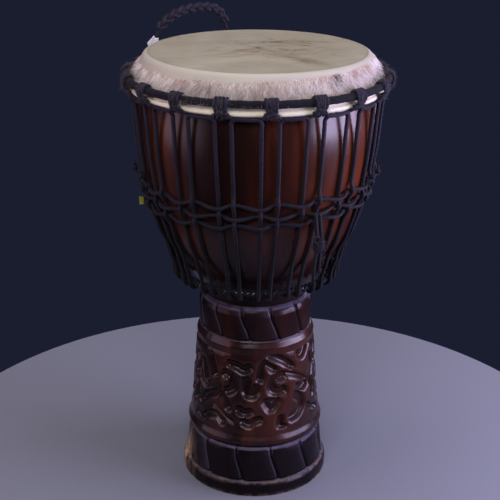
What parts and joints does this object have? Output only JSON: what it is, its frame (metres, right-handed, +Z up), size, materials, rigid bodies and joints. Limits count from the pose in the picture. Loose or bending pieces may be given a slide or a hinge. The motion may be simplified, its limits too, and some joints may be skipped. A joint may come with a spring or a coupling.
{
  "type": "djembe",
  "caption": "Goblet-shaped carved wooden hand drum with a roped goatskin head, woven lacing, a braided rope handle and carved bands round its hollow stem.",
  "frame": {"origin": "centre of the foot's bottom plane, on the drum's axis", "axes": "+Z up along the drum's axis; -Y is the front"},
  "size_m": [0.3508, 0.3502, 0.6363],
  "materials": {
    "carved_wood": "dark red-brown stain under gloss lacquer, worn bare at the foot",
    "goatskin": "shaved rawhide head with a collar of short pale hair",
    "hoop_steel": "plain welded rod",
    "black_cloth": "matte cloth strip wound round the hoop",
    "black_rope": "braided polyester rope, slightly fuzzy",
    "white_tape": "blank folded tape",
    "yellow_tape": "blank tape tab"
  },
  "bodies": {
    "drum": {"bottom_ring_core": "hoop_steel", "bottom_ring_wrap": "black_rope", "crown_loop_01": "black_rope", "crown_loop_02": "black_rope", "crown_loop_03": "black_rope", "crown_loop_04": "black_rope", "crown_loop_05": "black_rope", "crown_loop_06": "black_rope", "crown_loop_07": "black_rope", "crown_loop_08": "black_rope", "crown_loop_09": "black_rope", "crown_loop_10": "black_rope", "crown_loop_11": "black_rope", "crown_loop_12": "black_rope", "crown_loop_13": "black_rope", "crown_loop_14": "black_rope", "crown_loop_15": "black_rope", "crown_loop_16": "black_rope", "crown_loop_17": "black_rope", "crown_loop_18": "black_rope", "crown_ring_core": "hoop_steel", "crown_ring_wrap": "black_cloth", "drum_skin": "goatskin", "flesh_ring": "hoop_steel", "lacing_span_01": "black_rope", "lacing_span_02": "black_rope", "lacing_span_03": "black_rope", "lacing_span_04": "black_rope", "lacing_span_05": "black_rope", "lacing_span_06": "black_rope", "lacing_span_07": "black_rope", "lacing_span_08": "black_rope", "lacing_span_09": "black_rope", "lacing_span_10": "black_rope", "lacing_span_11": "black_rope", "lacing_span_12": "black_rope", "lacing_span_13": "black_rope", "lacing_span_14": "black_rope", "lacing_span_15": "black_rope", "lacing_span_16": "black_rope", "lacing_span_17": "black_rope", "lacing_span_18": "black_rope", "shell": "carved_wood", "tie_knots": "black_rope", "weave_row_1": "black_rope", "weave_row_2": "black_rope", "weave_row_3": "black_rope", "yellow_tag": "yellow_tape"},
    "handle": {"handle_braid": "black_rope", "handle_loop_left": "black_rope", "handle_loop_right": "black_rope", "handle_tag": "white_tape"},
    "tail": {"tail_strands": "black_rope", "tail_knot": "black_rope", "tail_ends": "black_rope"}
  },
  "joints": [
    {"name": "handle_swing", "type": "hinge", "parent": "drum", "child": "handle", "pos_m": [-0.08663, 0.12965, 0.5693], "axis": [0.8315, 0.5556, 0], "range_deg": [-35, 15]},
    {"name": "tail_swing", "type": "hinge", "parent": "drum", "child": "tail", "pos_m": [0.07434, -0.14281, 0.424], "axis": [0.4617, -0.887, 0], "range_deg": [-20, 20]}
  ]
}
